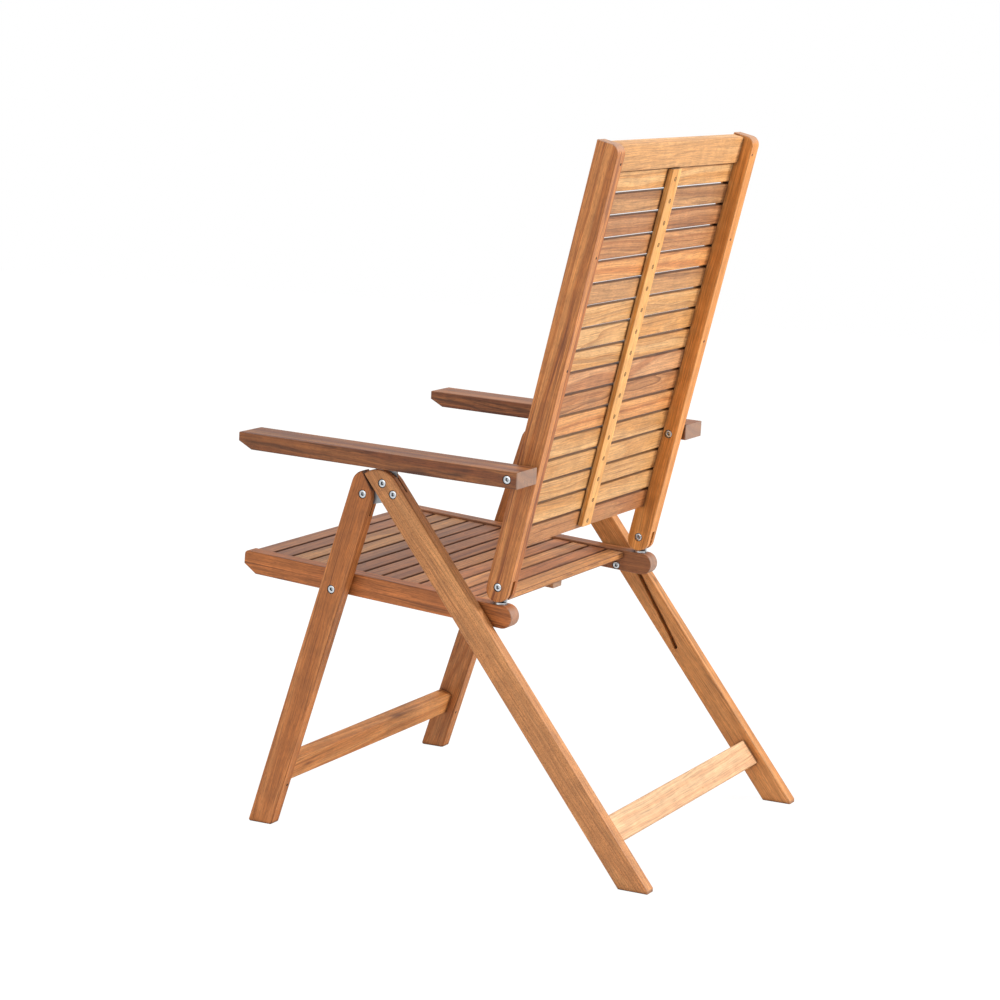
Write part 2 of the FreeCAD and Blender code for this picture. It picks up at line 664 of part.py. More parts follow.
# Armrest bolts, each with the spacer between stile and armrest
spacer_from = rail_outer_x + washer_clearance
spacer_to = armrest_inner_x - washer_clearance
spacer = rod(arm_pivot, armrest_spacer_diameter, spacer_from, spacer_to)
spacer = spacer.cut(rod(arm_pivot, sleeve_diameter, spacer_from, spacer_to))
save_pair(Part.makeCompound([bolt(arm_pivot, rail_inner_x, armrest_outer_x), spacer]), "armrest_bolt")
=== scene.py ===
import json
import math
import random

import bmesh
import bpy
from mathutils import Euler, Matrix, Vector


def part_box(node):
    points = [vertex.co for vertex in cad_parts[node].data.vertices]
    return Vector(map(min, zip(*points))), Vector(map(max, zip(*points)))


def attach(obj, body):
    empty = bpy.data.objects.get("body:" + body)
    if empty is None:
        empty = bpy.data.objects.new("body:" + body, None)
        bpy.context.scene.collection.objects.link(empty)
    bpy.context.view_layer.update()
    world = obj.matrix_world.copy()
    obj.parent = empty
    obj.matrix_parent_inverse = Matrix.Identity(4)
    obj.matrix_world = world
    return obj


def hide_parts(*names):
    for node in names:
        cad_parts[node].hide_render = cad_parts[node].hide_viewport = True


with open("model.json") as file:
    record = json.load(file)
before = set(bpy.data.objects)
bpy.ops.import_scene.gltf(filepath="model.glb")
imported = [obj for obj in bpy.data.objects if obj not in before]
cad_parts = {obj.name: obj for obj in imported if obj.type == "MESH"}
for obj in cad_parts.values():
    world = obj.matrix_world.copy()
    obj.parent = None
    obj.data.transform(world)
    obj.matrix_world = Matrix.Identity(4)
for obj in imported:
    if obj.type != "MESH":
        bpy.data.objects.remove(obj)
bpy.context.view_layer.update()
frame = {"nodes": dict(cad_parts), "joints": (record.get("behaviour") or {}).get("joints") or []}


# Studio: a white sweep of paper under soft lamps, as for a catalogue picture.
# The camera stands behind the chair's left rear corner, a little above the seat.
def linear(hex_colour):
    """Linear colour of an sRGB hex value such as "b0703c"."""
    channels = [int(hex_colour[i:i + 2], 16) / 255 for i in (0, 2, 4)]
    curve = [c / 12.92 if c <= 0.04045 else ((c + 0.055) / 1.055) ** 2.4 for c in channels]
    return (*curve, 1.0)


def add(tree, kind, inputs, **settings):
    """Adds one shader node; inputs give each socket a value or the socket that feeds it."""
    made = tree.nodes.new("ShaderNode" + kind)
    for option, value in settings.items():
        setattr(made, option, value)
    for socket, value in inputs.items():
        if isinstance(value, bpy.types.NodeSocket):
            tree.links.new(value, made.inputs[socket])
        else:
            made.inputs[socket].default_value = value
    return made


camera = bpy.data.objects.new("camera", bpy.data.cameras.new("camera"))
camera.data.lens = 95.07
camera.data.sensor_width = 36
camera.data.clip_end = 50
camera_right = Vector((-0.47576, 0.87932, 0.02101))
camera_up = Vector((-0.14161, -0.10015, 0.98484))
turn = Matrix((camera_right, camera_up, camera_right.cross(camera_up))).transposed()
camera.matrix_world = Matrix.Translation((3.61878, 1.89449, 1.21637)) @ turn.to_4x4()
bpy.context.collection.objects.link(camera)
bpy.context.scene.camera = camera
bpy.context.scene.view_settings.view_transform = "Standard"

# The paper is white to the camera and in reflections, and lights the wood as a soft white room.
room_light = 0.45
bpy.context.scene.world = bpy.data.worlds.new("white room")
bpy.context.scene.world.use_nodes = True
tree = bpy.context.scene.world.node_tree
tree.nodes.clear()
ray = add(tree, "LightPath", {})
seen = add(tree, "Math", {
    0: ray.outputs["Is Camera Ray"], 1: ray.outputs["Is Glossy Ray"]}, operation="MAXIMUM")
seen = add(tree, "Math", {0: seen.outputs[0], 1: ray.outputs["Is Transmission Ray"]}, operation="MAXIMUM")
level = add(tree, "MapRange", {"Value": seen.outputs[0], "To Min": room_light, "To Max": 1.0})
paper = add(tree, "Background", {"Color": (1, 1, 1, 1), "Strength": level.outputs[0]})
add(tree, "OutputWorld", {"Surface": paper.outputs[0]})

# Most of the floor's white is its own, and the rest is lit, so that the shadow stays faint.
floor_size = 14.0
floor_shadow = 0.12
floor_glow = 1.08
floor_white = bpy.data.materials.new("matt white paper")
floor_white.use_nodes = True
tree = floor_white.node_tree
tree.nodes.clear()
ray = add(tree, "LightPath", {})
lit = add(tree, "BsdfDiffuse", {"Color": linear("fafafa"), "Roughness": 1.0})
glow = add(tree, "Emission", {"Color": (1, 1, 1, 1), "Strength": floor_glow})
share = add(tree, "MapRange", {
    "Value": ray.outputs["Is Camera Ray"], "To Min": 0.0, "To Max": 1 - floor_shadow})
sweep = add(tree, "MixShader", {0: share.outputs[0], 1: lit.outputs[0], 2: glow.outputs[0]})
add(tree, "OutputMaterial", {"Surface": sweep.outputs[0]})
shape = bmesh.new()
half = floor_size / 2
corners = ((-half, -half), (half, -half), (half, half), (-half, half))
shape.faces.new([shape.verts.new((x, y, 0)) for x, y in corners])
floor_mesh = bpy.data.meshes.new("paper_floor")
shape.to_mesh(floor_mesh)
floor_mesh.materials.append(floor_white)
floor = bpy.data.objects.new("paper_floor", floor_mesh)
bpy.context.collection.objects.link(floor)

# The main lamp stands behind the chair, with softer ones overhead and at its left side.
# Each has its place and size in metres and its power in watts, and faces the seat.
lamp_target = Vector((0, 0, 0.5))
for lamp_name, place, size, power in (
        ("rear_lamp", (-2.0, 4.0, 2.4), 0.9, 192),
        ("top_lamp", (0.4, 0.2, 3.6), 2.4, 50),
        ("side_lamp", (4.0, -0.6, 1.4), 2.0, 26)):
    lamp = bpy.data.objects.new(lamp_name, bpy.data.lights.new(lamp_name, "AREA"))
    lamp.data.size = size
    lamp.data.energy = power
    lamp.location = place
    lamp.rotation_euler = (Vector(place) - lamp_target).to_track_quat("Z", "Y").to_euler()
    bpy.context.collection.objects.link(lamp)


# Rear legs: 22 x 40.5 mm boards of solid teak, sawn, planed and oiled. They lean forward
# at the top, where a saw kerf takes the steel leg plate.
def oiled_teak(name, middle, grain, face, tones, seed, spacing=8.0, lines=0.8, streaks=0.4,
               flecks=(8, 0.3), dust=0.006, rubbed=1.6, knots=()):
    """One board's teak: growth rings, streaks, fibres, pores, arrises darkened as wear and painted shade, end
    grain, and painted shade in corners, under satin oil.
    """
    rng = random.Random(seed)
    light, mid, dark = [linear(tone) for tone in tones]
    material = bpy.data.materials.new(name)
    material.use_nodes = True
    tree = material.node_tree
    tree.nodes.clear()
    lie = Matrix((grain, face.cross(grain), face)).transposed()
    # No board is sawn quite along the grain, so the figure runs off its edges
    sawn = Euler((rng.uniform(-0.5, 0.5), rng.uniform(-0.03, 0.03), rng.uniform(-0.03, 0.03))).to_matrix()
    place = add(tree, "TexCoord", {})
    board = add(tree, "Mapping", {
        "Vector": place.outputs["Object"], "Location": middle, "Rotation": (lie @ sawn).to_euler(),
        "Scale": (0.001, 0.001, 0.001)}, vector_type="TEXTURE")
    # Slow waves of the grain, up to 7 mm sideways over about 260 mm
    shift = Vector([rng.uniform(-900, 900) for _ in range(3)])
    slow = add(tree, "Mapping", {
        "Vector": board.outputs[0], "Location": shift / 100, "Scale": (1 / 260, 1 / 60, 1 / 60)})
    slow = add(tree, "TexNoise", {"Vector": slow.outputs[0], "Scale": 1.0, "Detail": 2.0})
    slow = add(tree, "VectorMath", {0: slow.outputs["Color"], 1: (0.5, 0.5, 0.5)}, operation="SUBTRACT")
    wavy = add(tree, "VectorMath", {
        0: slow.outputs[0], 1: (0, 15, 15), 2: board.outputs[0]}, operation="MULTIPLY_ADD")
    # Growth rings about a pith outside the board; each ends in a thin dark line of late wood
    pith = (0, rng.uniform(-40, 40), rng.choice((-1, 1)) * rng.uniform(24, 70))
    radius = add(tree, "VectorMath", {0: wavy.outputs[0], 1: (0, 1, 1), 2: pith}, operation="MULTIPLY_ADD")
    radius = add(tree, "VectorMath", {0: radius.outputs[0]}, operation="LENGTH")
    radius = add(tree, "Math", {0: radius.outputs["Value"], 1: rng.uniform(100, 900)}, operation="ADD")
    uneven = add(tree, "TexNoise", {
        "W": radius.outputs[0], "Scale": 1 / 11, "Detail": 1.0}, noise_dimensions="1D")
    rings = add(tree, "Math", {
        0: radius.outputs[0], 1: 1 / spacing, 2: uneven.outputs[0]}, operation="MULTIPLY_ADD")
    each = add(tree, "Math", {0: rings.outputs[0]}, operation="FLOOR")
    each = add(tree, "TexWhiteNoise", {"W": each.outputs[0]}, noise_dimensions="1D")
    each = add(tree, "MapRange", {"Value": each.outputs["Value"], "From Min": 0.2, "To Max": lines})
    line = add(tree, "Math", {0: rings.outputs[0]}, operation="FRACT")
    line = add(tree, "Math", {0: line.outputs[0], 1: 5.0}, operation="POWER")
    line = add(tree, "Math", {0: line.outputs[0], 1: each.outputs[0]}, operation="MULTIPLY")
    # Bands of lighter and darker rings, about 12 mm wide
    bands = add(tree, "TexNoise", {
        "W": radius.outputs[0], "Scale": 1 / 12, "Detail": 4.0, "Roughness": 0.65}, noise_dimensions="1D")
    bands = add(tree, "MapRange", {
        "Value": bands.outputs[0], "From Min": 0.38, "From Max": 0.64}, interpolation_type="SMOOTHSTEP")
    wood = add(tree, "Mix", {0: bands.outputs[0], 6: light, 7: mid}, data_type="RGBA")
    # Dark heartwood streaks, 5 mm wide and fading over 300 mm
    streak = add(tree, "Mapping", {
        "Vector": wavy.outputs[0], "Location": shift / 70, "Scale": (1 / 300, 1 / 5, 1 / 12)})
    streak = add(tree, "TexNoise", {
        "Vector": streak.outputs[0], "Scale": 1.0, "Detail": 3.0, "Roughness": 0.6})
    low = 0.66 - 0.18 * streaks
    streak = add(tree, "MapRange", {
        "Value": streak.outputs[0], "From Min": low, "From Max": low + 0.09, "To Max": 0.35 + 0.5 * streaks})
    line = add(tree, "Math", {0: line.outputs[0], 1: streak.outputs[0]}, operation="MAXIMUM")
    wood = add(tree, "Mix", {0: line.outputs[0], 6: wood.outputs[2], 7: dark}, data_type="RGBA")
    # Fibres: long lines 1.8 mm wide, drawn coarser than the real ones so that they show
    fibre = add(tree, "Mapping", {
        "Vector": wavy.outputs[0], "Location": shift / 40, "Scale": (1 / 90, 1 / 1.8, 1 / 1.8)})
    fibre = add(tree, "TexNoise", {"Vector": fibre.outputs[0], "Scale": 1.0, "Detail": 4.0, "Roughness": 0.7})
    shade = add(tree, "MapRange", {
        "Value": fibre.outputs[0], "From Min": 0.3, "From Max": 0.7, "To Min": 0.6, "To Max": 1.34})
    wood = add(tree, "VectorMath", {0: wood.outputs[2], "Scale": shade.outputs[0]}, operation="SCALE")
    # Ribbon figure: faint bands across the grain where its twist catches the light
    ribbon = add(tree, "Mapping", {
        "Vector": wavy.outputs[0], "Location": shift / 20, "Scale": (1 / 24, 1 / 30, 1 / 30)})
    ribbon = add(tree, "TexNoise", {"Vector": ribbon.outputs[0], "Scale": 1.0, "Detail": 3.0})
    shade = add(tree, "MapRange", {
        "Value": ribbon.outputs[0], "From Min": 0.3, "From Max": 0.7, "To Min": 0.88, "To Max": 1.1})
    wood = add(tree, "VectorMath", {0: wood.outputs[0], "Scale": shade.outputs[0]}, operation="SCALE")
    # Open pores: short dark dashes 1.2 mm wide, also drawn coarser than the real 0.3 mm
    pores = add(tree, "Mapping", {
        "Vector": wavy.outputs[0], "Location": shift / 30, "Scale": (1 / flecks[0], 1 / 1.2, 1 / 1.2)})
    pores = add(tree, "TexNoise", {"Vector": pores.outputs[0], "Scale": 1.0, "Detail": 1.0})
    pores = add(tree, "MapRange", {
        "Value": pores.outputs[0], "From Min": 0.5, "From Max": 0.7, "To Max": flecks[1]})
    wood = add(tree, "Mix", {0: pores.outputs[0], 6: wood.outputs[0], 7: dark}, data_type="RGBA")
    # Arrises, where the normal lies between face and edge, are darkened, partly as handling wear and partly
    # as painted shade
    slant = add(tree, "VectorMath", {0: place.outputs["Normal"], 1: face}, operation="DOT_PRODUCT")
    slant = add(tree, "Math", {0: slant.outputs["Value"]}, operation="ABSOLUTE")
    slant = add(tree, "Math", {0: slant.outputs[0], 1: 0.5}, operation="PINGPONG")
    slant = add(tree, "Math", {0: slant.outputs[0], 1: rubbed}, operation="MULTIPLY")
    slant = add(tree, "Math", {0: slant.outputs[0], 1: fibre.outputs[0]}, operation="MULTIPLY")
    wood = add(tree, "Mix", {0: slant.outputs[0], 6: wood.outputs[2], 7: dark}, data_type="RGBA")
    # Knots: dark swirls, each given by its place in the chair, its length and its width
    for *spot, length, width in knots:
        knot = add(tree, "Mapping", {
            "Vector": place.outputs["Object"], "Location": Vector(spot) / 1000, "Rotation": lie.to_euler(),
            "Scale": (length / 2000, width / 2000, width / 2000)}, vector_type="TEXTURE")
        knot = add(tree, "VectorMath", {0: knot.outputs[0]}, operation="LENGTH")
        knot = add(tree, "Math", {0: knot.outputs["Value"], 1: fibre.outputs[0]}, operation="ADD")
        knot = add(tree, "MapRange", {
            "Value": knot.outputs[0], "From Min": 0.7, "From Max": 1.5, "To Min": 0.8, "To Max": 0.0})
        wood = add(tree, "Mix", {0: knot.outputs[0], 6: wood.outputs[2], 7: dark}, data_type="RGBA")
    # End grain is greyer, with the rings still showing
    cross = add(tree, "VectorMath", {0: place.outputs["Normal"], 1: grain}, operation="DOT_PRODUCT")
    cross = add(tree, "Math", {0: cross.outputs["Value"]}, operation="ABSOLUTE")
    cross = add(tree, "MapRange", {
        "Value": cross.outputs[0], "From Min": 0.3, "From Max": 0.8, "To Max": 0.6})
    end_grain = linear("9f8574")
    wood = add(tree, "Mix", {0: cross.outputs[0], 6: wood.outputs[2], 7: end_grain}, data_type="RGBA")
    # Painted shade: corners and gaps are darkened to a deep brown by ambient occlusion
    open_air = add(tree, "AmbientOcclusion", {"Distance": dust}, samples=8)
    corner = add(tree, "MapRange", {
        "Value": open_air.outputs["AO"], "From Min": 0.3, "From Max": 0.95, "To Min": 0.8, "To Max": 0.0})
    painted_shade_brown = linear("3a1d0e")
    wood = add(tree, "Mix", {0: corner.outputs[0], 6: wood.outputs[2], 7: painted_shade_brown}, data_type="RGBA")
    gloss = add(tree, "MapRange", {"Value": fibre.outputs[0], "To Min": 0.4, "To Max": 0.62})
    relief = add(tree, "Math", {0: fibre.outputs[0], 1: pores.outputs[0]}, operation="SUBTRACT")
    relief = add(tree, "Bump", {"Height": relief.outputs[0], "Strength": 0.4, "Distance": 0.0003})
    surface = add(tree, "BsdfPrincipled", {
        "Base Color": wood.outputs[2], "Roughness": gloss.outputs[0], "Normal": relief.outputs[0],
        "IOR": 1.45})
    add(tree, "OutputMaterial", {"Surface": surface.outputs[0]})
    return material


def coat(node, material):
    """Gives all of a CAD node one material."""
    for place in frame["nodes"][node].material_slots:
        place.material = material


def dress(node, grain, face, tones, seed, **figure):
    """Gives a CAD board its own cut of teak, lying along its grain."""
    low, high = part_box(node)
    coat(node, oiled_teak("oiled teak " + node, (low + high) / 2, grain, face, tones, seed, **figure))


def leaning(degrees):
    """Two directions in the side view: up along a leaning board, and square to it towards the rear."""
    lean = math.radians(degrees)
    return Vector((0, math.sin(lean), math.cos(lean))), Vector((0, math.cos(lean), -math.sin(lean)))


sideways = Vector((1, 0, 0))
rear_leg_up, rear_leg_back = leaning(-37.6)
dress("rear_leg_left", rear_leg_up, sideways, ("d19158", "b97842", "723d1d"), 11, lines=0.35, streaks=0.2,
      flecks=(2.5, 0.5))
dress("rear_leg_right", rear_leg_up, sideways, ("de9b5b", "c58041", "7c4b23"), 12, lines=0.5, streaks=0.25,
      knots=((-274, 102, 341, 18, 12),))

# Rear stretcher: a pale 20 x 43 mm teak bar, tenoned into both rear legs.
# Its rings are wide and faint, so that it looks the plainest board of the chair.
dress("rear_stretcher", sideways, rear_leg_back, ("dfb488", "dda97c", "be8654"), 13, spacing=14,
      lines=0.15, streaks=0.0, flecks=(10, 0.15), knots=((-53, 296, 69, 9, 5),))


# Leg plates: 3 mm mild steel, stamped and zinc plated, let into kerfs in the leg tops.
# Each ends in a tab that carries the armrest.
def zinc_plate(name, colour, roughness, grain_mm):
    """Zinc plated steel: a cool, soft mirror, mottled by the crystals of the plating, with painted shade in
    sockets and corners.
    """
    material = bpy.data.materials.new(name)
    material.use_nodes = True
    tree = material.node_tree
    tree.nodes.clear()
    place = add(tree, "TexCoord", {})
    crystals = add(tree, "TexNoise", {
        "Vector": place.outputs["Object"], "Scale": 1000 / grain_mm, "Detail": 3.0, "Roughness": 0.6})
    tone = add(tree, "MapRange", {
        "Value": crystals.outputs[0], "From Min": 0.3, "From Max": 0.7, "To Min": 0.85, "To Max": 1.06})
    shade = add(tree, "VectorMath", {0: linear(colour)[:3], "Scale": tone.outputs[0]}, operation="SCALE")
    # Painted shade: sockets and the surface round the edges are darkened within 3 mm of the next surface
    open_air = add(tree, "AmbientOcclusion", {"Distance": 0.003}, samples=8)
    corner = add(tree, "MapRange", {
        "Value": open_air.outputs["AO"], "From Min": 0.35, "From Max": 0.85, "To Min": 0.12, "To Max": 1.0})
    shade = add(tree, "VectorMath", {0: shade.outputs[0], "Scale": corner.outputs[0]}, operation="SCALE")
    gloss = add(tree, "MapRange", {
        "Value": crystals.outputs[0], "To Min": roughness - 0.08, "To Max": roughness + 0.1})
    relief = add(tree, "Bump", {"Height": crystals.outputs[0], "Strength": 0.15, "Distance": 0.00008})
    surface = add(tree, "BsdfPrincipled", {
        "Base Color": shade.outputs[0], "Metallic": 1.0, "Roughness": gloss.outputs[0],
        "Normal": relief.outputs[0]})
    add(tree, "OutputMaterial", {"Surface": surface.outputs[0]})
    return material


satin_zinc = zinc_plate("satin zinc plated steel", "94999c", 0.36, 2.5)
coat("leg_plate_left", satin_zinc)
coat("leg_plate_right", satin_zinc)


# Leg plate bolts: cap bolts screwed into sleeve nuts, turned steel, bright zinc plated.
# Both ends show a 13 mm head with a hexagon socket, set a hair below the wood.
def ring(shape, along_x, y, z, outline):
    """Ring of corners in a plane square to x, one for each radius of the outline, all in mm."""
    corners = []
    for i in range(len(outline)):
        angle = math.tau * i / len(outline)
        spot = (along_x, y + outline[i] * math.cos(angle), z + outline[i] * math.sin(angle))
        corners.append(shape.verts.new([c / 1000 for c in spot]))
    return corners


def skin(shape, rings):
    """Walls between neighbouring rings, closed by a fan at both ends."""
    for near, far in zip(rings, rings[1:]):
        for i in range(len(near)):
            j = (i + 1) % len(near)
            shape.faces.new((near[i], far[i], far[j], near[j]))
    shape.faces.new(rings[0])
    shape.faces.new(rings[-1][::-1])


sides = 48
head_recess = 0.4
sleeve = [4.0] * sides


def hexagon(across_flats):
    """Radii of a hexagon at even angles."""
    sixth = math.pi / 3
    angles = [(math.tau * i / sides + sixth / 2) % sixth - sixth / 2 for i in range(sides)]
    return [across_flats / 2 / math.cos(angle) for angle in angles]


# One end of a bolt from its socket out to its sleeve: depth under the head's face and radii, in mm
head_rings = [
    (3.0, hexagon(5.0)), (0.4, hexagon(5.0)), (0, hexagon(5.6)), (0, [4.6] * sides), (0.3, [5.6] * sides),
    (0.9, [6.1] * sides), (1.6, [6.3] * sides), (3.2, [6.5] * sides), (3.2, sleeve)]


def cap_bolt(shape, y, z, x_from, x_to):
    """Bolt and sleeve nut along x between two faces, in mm, with a head at each end."""
    low, high = x_from + head_recess, x_to - head_recess
    near = [(low + inward, radii) for inward, radii in head_rings]
    whole = near + [(low + high - along, radii) for along, radii in reversed(near)]
    skin(shape, [ring(shape, along, y, z, radii) for along, radii in whole])


def finish_piece(shape, name, material, body, nodes):
    """Makes a piece of the chair that rides on a body and stands for its CAD nodes."""
    bmesh.ops.recalc_face_normals(shape, faces=shape.faces[:])
    mesh = bpy.data.meshes.new(name)
    shape.to_mesh(mesh)
    mesh.materials.append(material)
    mesh.set_sharp_from_angle(angle=math.radians(32))
    mesh.polygons.foreach_set("use_smooth", [True] * len(mesh.polygons))
    piece = bpy.data.objects.new(name, mesh)
    bpy.context.collection.objects.link(piece)
    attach(piece, body)
    if nodes:
        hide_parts(*nodes)


def washer(shape, y, z, x_from, x_to, bore, rim):
    """Flat ring about the x direction, in mm, from its bore to its rim, with a broken outer edge."""
    out = math.copysign(0.3, x_to - x_from)
    profile = (
        (x_from, bore), (x_from, rim - 0.3), (x_from + out, rim),
        (x_to - out, rim), (x_to, rim - 0.3), (x_to, bore))
    rings = [ring(shape, x, y, z, [radius] * sides) for x, radius in profile]
    for near, far in zip(rings, rings[1:] + rings[:1]):
        for i in range(sides):
            j = (i + 1) % sides
            shape.faces.new((near[i], far[i], far[j], near[j]))


bright_zinc = zinc_plate("bright zinc plated steel", "c9ced2", 0.24, 1.6)
pivots = {joint["name"]: Vector(joint["pos_m"]) * 1000 for joint in frame["joints"]}
leg_faces = (260, 282)
leg_width = 40.5
plate_bolt_places = ((0, 0), (-5.3, 38.8), (-28.8, 44.4))
fold_pivot = pivots["fold"]
shape = bmesh.new()
for up, back in plate_bolt_places:
    spot = fold_pivot + rear_leg_up * up + rear_leg_back * back
    cap_bolt(shape, spot.y, spot.z, *leg_faces)
    cap_bolt(shape, spot.y, spot.z, -leg_faces[1], -leg_faces[0])
finish_piece(shape, "leg_bolts", bright_zinc, "rear_frame", ["leg_plate_bolts"])

# Front legs: the same boards, leaning back at the top, which is arched to match the rear legs.
# A steel brad from behind pins each tenon of the front stretcher.
front_leg_up, front_leg_back = leaning(18.2)
dress("front_leg_left", front_leg_up, sideways, ("d1874b", "b16931", "612d0f"), 21, spacing=9, lines=0.6)
dress("front_leg_right", front_leg_up, sideways, ("c6844c", "ad6934", "683612"), 22, spacing=7, lines=0.6)


def brad(shape, spot, axis, size):
    """Flush head of a round wire nail, in mm; the axis points out of the wood."""
    turn = axis.to_track_quat("X", "Z").to_matrix()
    rings = []
    for out, share in ((-1.2, 0.7), (-0.3, 0.95), (-0.1, 1.0), (0.05, 0.7)):
        loop = []
        for i in range(16):
            angle = math.tau * i / 16
            across = share * size * math.cos(angle) / 2
            along = share * size * math.sin(angle) / 2
            loop.append(shape.verts.new((spot + turn @ Vector((out, across, along))) / 1000))
        rings.append(loop)
    skin(shape, rings)


brad_steel = zinc_plate("oiled steel wire", "33271e", 0.45, 1.0)
brad_size = 5.6
leg_brad_x = 268
leg_brad_up = 74
# The fold pivot lies this far off the middle line of the front leg, in mm
fold_pivot_across = 3.3
leg_slant = front_leg_up.y / front_leg_up.z
front_foot_y = fold_pivot.y - leg_slant * fold_pivot.z - fold_pivot_across / front_leg_up.z
shape = bmesh.new()
for x in (leg_brad_x, -leg_brad_x):
    spot = Vector((x, front_foot_y, 0)) + front_leg_up * leg_brad_up + front_leg_back * (leg_width / 2)
    brad(shape, spot, front_leg_back, brad_size)
finish_piece(shape, "front_leg_brads", brad_steel, "front_frame", [])

# Front stretcher: a 23 x 37 mm teak bar, tenoned into both front legs.
# Two long knots lie on its rear face.
dress("front_stretcher", sideways, front_leg_back, ("d79557", "be783d", "74411d"), 23, spacing=9, lines=0.5,
      knots=((-81, -276, 99, 60, 18), (192, -278, 80, 40, 10)))

# Seat pivot bolts: cap bolts through seat rail and front leg.
# A turned collar, 16 mm across, keeps the two apart with 0.15 mm to spare.
rail_faces = (228.5, 254.5)
collar = [8.0] * sides
collar_clearance = 0.15
shape = bmesh.new()
for side in (1, -1):
    outer = sorted((side * rail_faces[0], side * leg_faces[1]))
    cap_bolt(shape, pivots["seat_pivot"].y, pivots["seat_pivot"].z, *outer)
    between = sorted((side * (rail_faces[1] + collar_clearance), side * leg_faces[0]))
    rings = [(between[0], sleeve), (between[0], collar), (between[1], collar), (between[1], sleeve)]
    skin(shape, [ring(shape, x, pivots["seat_pivot"].y, pivots["seat_pivot"].z, radii) for x, radii in rings])
finish_piece(shape, "seat_bolts", bright_zinc, "front_frame", ["seat_pivot_bolts"])

# Seat rails: 26 x 34.5 mm teak boards with a bevelled front end and a round rear end.
# They are grooved for the slats. The far one is cut from darker wood.
seat_up, _ = leaning(4.3)
seat_run = Vector((0, seat_up.z, -seat_up.y))
dress("seat_rail_left", seat_run, sideways, ("c5753a", "a35f2c", "5b2d10"), 31, spacing=6, streaks=0.5)
dress("seat_rail_right", seat_run, sideways, ("a4673c", "86512c", "4e2c16"), 32, spacing=6, streaks=0.5)

# Seat guides: steel straps under the rails' rear ends, whose studs slide in the rear legs.
# Back hinges: steel tongues on collars, sunk into the rails' tops. Both are zinc plated.
coat("seat_guide_plates", satin_zinc)
coat("back_hinge_left", bright_zinc)
coat("back_hinge_right", bright_zinc)

# Guide bolts: cap bolts that hold the guides from the inner faces of the rails.
# Places along the rail are measured from the rail's front end, in mm.
seat_length = 474
seat_pivot_along, seat_pivot_drop = 177.5, 6.75
guide_bolt_along, guide_bolt_drop = 411.5, 9.95
seat_start = pivots["seat_pivot"] - seat_run * seat_pivot_along + seat_up * seat_pivot_drop
spot = seat_start + seat_run * guide_bolt_along - seat_up * guide_bolt_drop
guide_bolt_length = 25.5
head_face = rail_faces[0] + head_recess
shape = bmesh.new()
for side in (1, -1):
    rings = [ring(shape, side * (head_face + inward), spot.y, spot.z, radii)
             for inward, radii in head_rings + [(guide_bolt_length, sleeve)]]
    skin(shape, rings)
finish_piece(shape, "guide_bolts", bright_zinc, "seat", ["guide_plate_bolts"])

# Seat slats: thirteen 29 x 10 mm teak bars, tongued into the rails, with rounded edges.
# They are darker than the frame, and shade is painted on their arrises and in the gaps between them.
seat_tones = (
    ("b0744a", "8f5833", "44200e"), ("a06c48", "805235", "3e1e10"), ("c08650", "9f693a", "4c2a12"),
    ("aa6e44", "86502e", "44200f"), ("c98b54", "aa6c3e", "542c14"), ("bf7c4c", "9c5e36", "4e2612"))
# Each slat's painted shade reaches 16 mm and its arrises are darkened strongly, painting the shade of the
# gaps between slats
for i in range(13):
    tones = seat_tones[(i * 7 + i // 3) % 4 if i < 8 else 4 + i % 2]
    dress(f"seat_slat_{i + 1:02d}", sideways, seat_up, tones, 100 + i, spacing=6, streaks=0.55, dust=0.016,
          rubbed=3.6)

# Seat strip: a 30 x 9 mm teak lath under the slats.
# One countersunk screw goes through it into each slat.
dress("seat_centre_strip", seat_run, seat_up, ("b98250", "9c683c", "60381c"), 41, lines=0.4)


def screw(shape, spot, axis):
    """Countersunk screw with a cross recess, 5 mm across its head; the axis points out of the wood, in mm."""
    turn = axis.to_track_quat("X", "Z").to_matrix()
    recess = ((-0.9, 0.4), (0.1, 0.8))
    head = ((0.2, 1.0), (0.2, 1.9), (0.1, 2.3), (-0.5, 2.4))
    shank = ((-2.7, 1.6), (-14.5, 1.6), (-14.9, 0.3))
    rings = []
    for out, size in recess + head + shank:
        loop = []
        for i in range(32):
            angle = math.tau * i / 32
            wing = 1.9 if (out, size) in recess and i % 8 in (0, 1, 7) else 1
            corner = Vector((out, size * wing * math.cos(angle), size * wing * math.sin(angle)))
            loop.append(shape.verts.new((spot + turn @ corner) / 1000))
        rings.append(loop)
    skin(shape, rings)


screw_zinc = zinc_plate("yellow zinc plated screw heads", "c89a5e", 0.4, 1.0)
# A dark disc round each head is painted shade of its countersink
countersink_shade = zinc_plate("painted countersink shade", "3c2413", 0.5, 1.0)
countersink_shade_size = 7.4
slat_gap = 4
first_slat, bare_rear_end = 0.5, 51.3
strip_face_drop = 5.25
seat_pitch = (seat_length - bare_rear_end - first_slat + slat_gap) / 13
shape, rims = bmesh.new(), bmesh.new()
for i in range(13):
    along = first_slat + seat_pitch * i + seat_pitch / 2 - slat_gap / 2
    spot = seat_start + seat_run * along - seat_up * strip_face_drop
    screw(shape, spot, -seat_up)
    # A dark disc under the head paints the countersink's shade
    brad(rims, spot, -seat_up, countersink_shade_size)
finish_piece(rims, "seat_screw_rims", countersink_shade, "seat", [])
finish_piece(shape, "seat_screws", screw_zinc, "seat", ["seat_strip_screws"])

# Back stiles: long teak boards, round at the hinge and eased at the tip.
# Small brads from behind pin the top rail and some of the slats.
back_up, back_rear = leaning(13.8)
dress("back_stile_left", back_up, sideways, ("d28a4c", "b06830", "66301a"), 51, spacing=5.5, lines=1.0,
      streaks=0.6)
dress("back_stile_right", back_up, sideways, ("dc924a", "c27730", "804614"), 52, spacing=12, lines=0.3,
      streaks=0.1, flecks=(8, 0.15))
back_pivot = pivots["recline"]
stile_length, stile_width = 677, 37
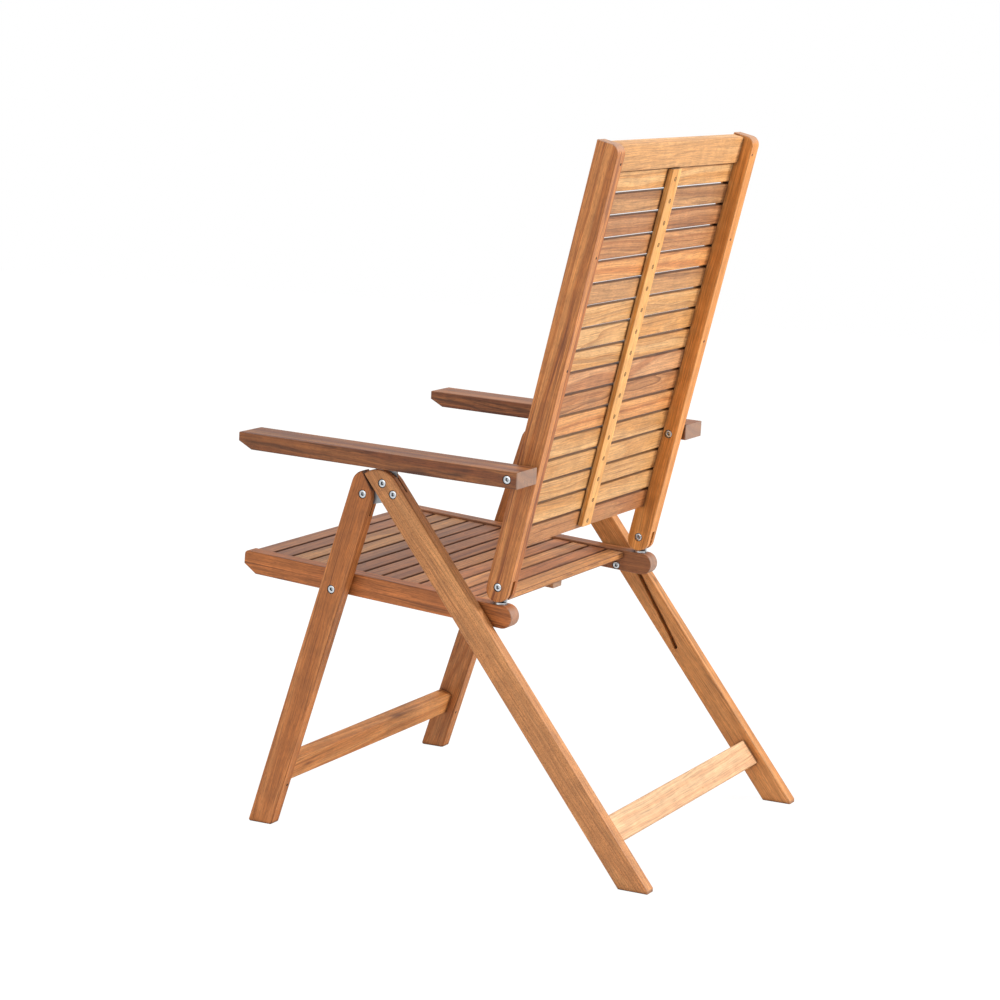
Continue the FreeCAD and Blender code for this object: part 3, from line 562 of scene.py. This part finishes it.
# Each pair of brads by its height above the hinge bolt and its distance from the chair's middle, in mm
brad_places = ((650, 236), (512, 239), (342, 241))
shape = bmesh.new()
for up, x in brad_places:
    for side in (1, -1):
        spot = Vector((side * x, 0, 0)) + back_pivot + back_up * up + back_rear * (stile_width / 2)
        brad(shape, spot, back_rear, brad_size)
finish_piece(shape, "stile_brads", brad_steel, "back", [])

# Back hinge bolts: cap bolts through the feet of the stiles.
# A thrust washer, 25 mm across and 2 mm thick, lies each side of the tongue.
washer_starts = (237.85, 243.15)
washer_thickness = 2
washer_bore, washer_rim = 4.05, 12.5
shape = bmesh.new()
for side in (1, -1):
    cap_bolt(shape, back_pivot.y, back_pivot.z, *sorted((side * rail_faces[0], side * rail_faces[1])))
    for near in washer_starts:
        ends = (side * near, side * (near + washer_thickness))
        washer(shape, back_pivot.y, back_pivot.z, *ends, washer_bore, washer_rim)
finish_piece(shape, "hinge_bolts", bright_zinc, "back_pins", ["back_hinge_bolts"])

# Top rail: a 19 x 42 mm teak bar, tenoned into the stiles.
# It shows wide, calm grain in a honey tone.
dress("back_top_rail", sideways, back_rear, ("dba974", "ca945c", "875228"), 61, lines=0.4, streaks=0.2)

# Back strip: a pale 30 x 9 mm teak lath behind the slats, one screw into each.
# Heights are measured up the stile from the hinge bolt, in mm.
dress("back_centre_strip", back_up, back_rear, ("e9af69", "dc9849", "a0652c"), 62, spacing=10, lines=0.3,
      streaks=0.1)
rail_below_tip, rail_height, rail_gap = 3, 42, 1.3
lowest_slat = 52
strip_face = 3.7
back_pitch = (stile_length - rail_below_tip - rail_height - rail_gap - lowest_slat + slat_gap) / 17
shape, rims = bmesh.new(), bmesh.new()
for i in range(17):
    up = lowest_slat + back_pitch * i + back_pitch / 2 - slat_gap / 2
    spot = back_pivot + back_up * up + back_rear * strip_face
    screw(shape, spot, back_rear)
    # A dark disc under the head paints the countersink's shade
    brad(rims, spot, back_rear, countersink_shade_size)
finish_piece(rims, "back_screw_rims", countersink_shade, "back", [])
finish_piece(shape, "back_screws", screw_zinc, "back", ["back_strip_screws"])

# Back slats: seventeen teak laths, 9.5 mm thick and cut from many boards.
# So each has its own tone, listed here from the lowest up.
back_tones = {
    "honey": ("d8a76e", "c68d50", "894f1e"), "amber": ("d99a5c", "c27d44", "7c461e"),
    "brown": ("c68c58", "a5683a", "5a3016"), "rosy": ("cf9868", "b2764a", "6c3c20"),
    "tan": ("c08c5a", "9f6c42", "54321a"), "russet": ("bc8455", "9c6439", "582e17")}
back_slat_tones = (
    "brown", "honey", "honey", "honey", "honey", "amber", "brown", "rosy", "honey", "honey",
    "honey", "tan", "amber", "brown", "russet", "tan", "honey")
for i, tone in enumerate(back_slat_tones):
    dress(f"back_slat_{i + 1:02d}", sideways, back_rear, back_tones[tone], 200 + i, spacing=6.5)

# Armrests: 63 x 25 mm boards of dark teak with a bevelled front end.
# The steel racks under them hook over the leg plates.
arm_up, _ = leaning(2.05)
arm_run = Vector((0, arm_up.z, -arm_up.y))
dress("armrest_left", arm_run, arm_up, ("a06435", "7c431f", "3e1b06"), 71, streaks=0.65,
      knots=((323, -14, 588, 110, 22),))
dress("armrest_right", arm_run, arm_up, ("9e6337", "7c4523", "421f09"), 72, streaks=0.6)
coat("armrest_rack_left", satin_zinc)
coat("armrest_rack_right", satin_zinc)

# Armrest bolts: cap bolts through stile and armrest.
# A turned spacer, 20 mm across, fills the gap between the two.
arm_pivot = pivots["armrest_left_pivot"]
armrest_outer_face = 323
spacer_ends = (254.65, 259.85)
spacer_bore, spacer_rim = 4.0, 10.0
for name, side in (("left", 1), ("right", -1)):
    shape = bmesh.new()
    cap_bolt(shape, arm_pivot.y, arm_pivot.z, *sorted((side * rail_faces[0], side * armrest_outer_face)))
    washer(shape, arm_pivot.y, arm_pivot.z, side * spacer_ends[0], side * spacer_ends[1],
           spacer_bore, spacer_rim)
    finish_piece(
        shape, "arm_bolt_" + name, bright_zinc, "arm_pin_" + name, ["armrest_bolt_" + name])
